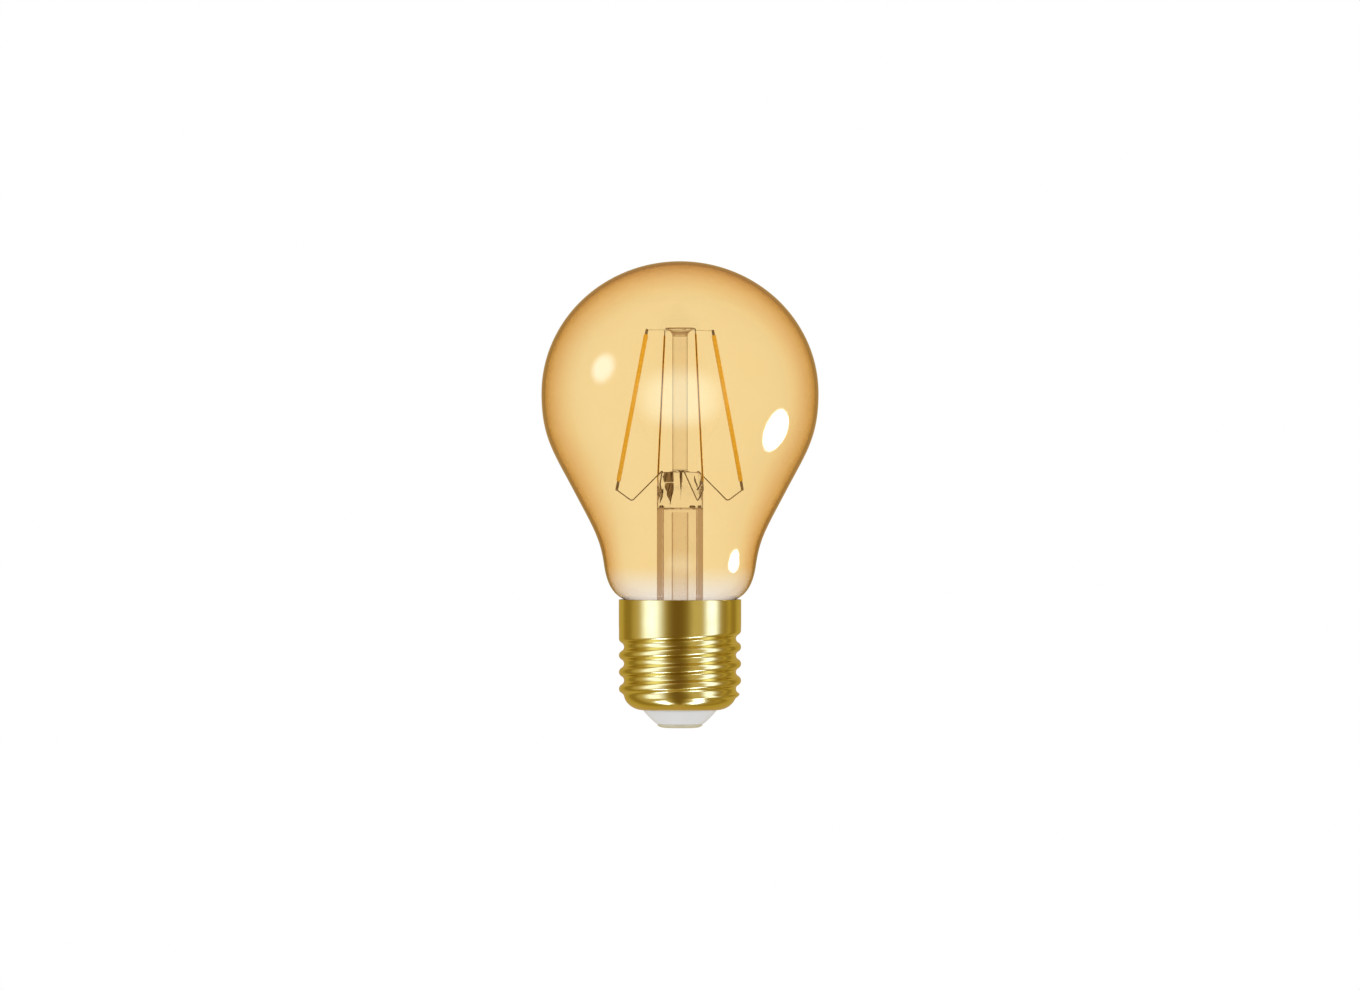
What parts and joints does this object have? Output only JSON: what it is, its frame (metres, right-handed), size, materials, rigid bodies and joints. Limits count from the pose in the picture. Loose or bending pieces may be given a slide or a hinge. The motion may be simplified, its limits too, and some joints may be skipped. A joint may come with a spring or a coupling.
{
  "type": "smart light bulb",
  "caption": "Amber glass filament light bulb with an Edison screw cap, slanted LED strips on a glass stem, and a driver with radio inside the cap.",
  "frame": {"origin": "middle of the centre contact's flat face, the bulb's lowest point", "axes": "+Z along the bulb's axis from the contact to the top of the glass; -Y faces the front view, where one inner filament stands 20 degrees right of the axis"},
  "size_m": [0.06, 0.06, 0.101],
  "materials": {
    "amber_glass": "thin blown glass, transparent amber coat that fades to clear at the neck",
    "clear_glass": "clear soda-lime glass",
    "phosphor": "silicone coat filled with amber phosphor",
    "nickel": "drawn nickel-plated iron wire and tab",
    "copper": "bare drawn copper",
    "brass": "bright pressed brass, lacquered",
    "white_ceramic": "smooth pale moulded insulator",
    "cement": "dry capping cement",
    "white_plastic": "thin moulded sleeve",
    "board_green": "solder-masked laminate",
    "black_plastic": "moulded package",
    "black_rubber": "moulded bung",
    "can_aluminium": "drawn can",
    "ferrite": "sintered core",
    "film_yellow": "dipped box",
    "resistor_blue": "lacquered body",
    "wire_red": "wire insulation",
    "wire_blue": "wire insulation"
  },
  "bodies": {
    "root": {"antenna_wire": "copper", "board_connector": "black_plastic", "bridge_rectifier": "black_plastic", "capacitor_seal": "black_rubber", "capping_cement": "cement", "centre_contact": "brass", "centre_pillar": "clear_glass", "dimming_transistor": "black_plastic", "driver_board": "board_green", "driver_chip": "black_plastic", "electrolytic_capacitor": "can_aluminium", "exhaust_tube": "clear_glass", "filament_1": "phosphor", "filament_2": "phosphor", "filament_3": "phosphor", "filament_4": "phosphor", "film_capacitor": "film_yellow", "foot_pin_1": "nickel", "foot_pin_2": "nickel", "foot_pin_3": "nickel", "foot_pin_4": "nickel", "fusible_resistor": "resistor_blue", "glass_envelope": "amber_glass", "inductor_core": "ferrite", "inductor_winding": "copper", "insulating_sleeve": "white_plastic", "lead_wire_1": "copper", "lead_wire_2": "copper", "live_wire": "wire_red", "neutral_wire": "wire_blue", "pillar_button": "clear_glass", "screw_shell": "brass", "shell_insulator": "white_ceramic", "shield_can": "can_aluminium", "stem_glass": "clear_glass", "support_wire_1": "nickel", "support_wire_2": "nickel", "support_wire_3": "nickel", "support_wire_4": "nickel", "top_pin_1": "nickel", "top_pin_2": "nickel", "top_pin_3": "nickel", "top_pin_4": "nickel", "top_wire_1": "nickel", "top_wire_2": "nickel", "wireless_board": "board_green", "wireless_chip": "black_plastic"}
  },
  "joints": []
}
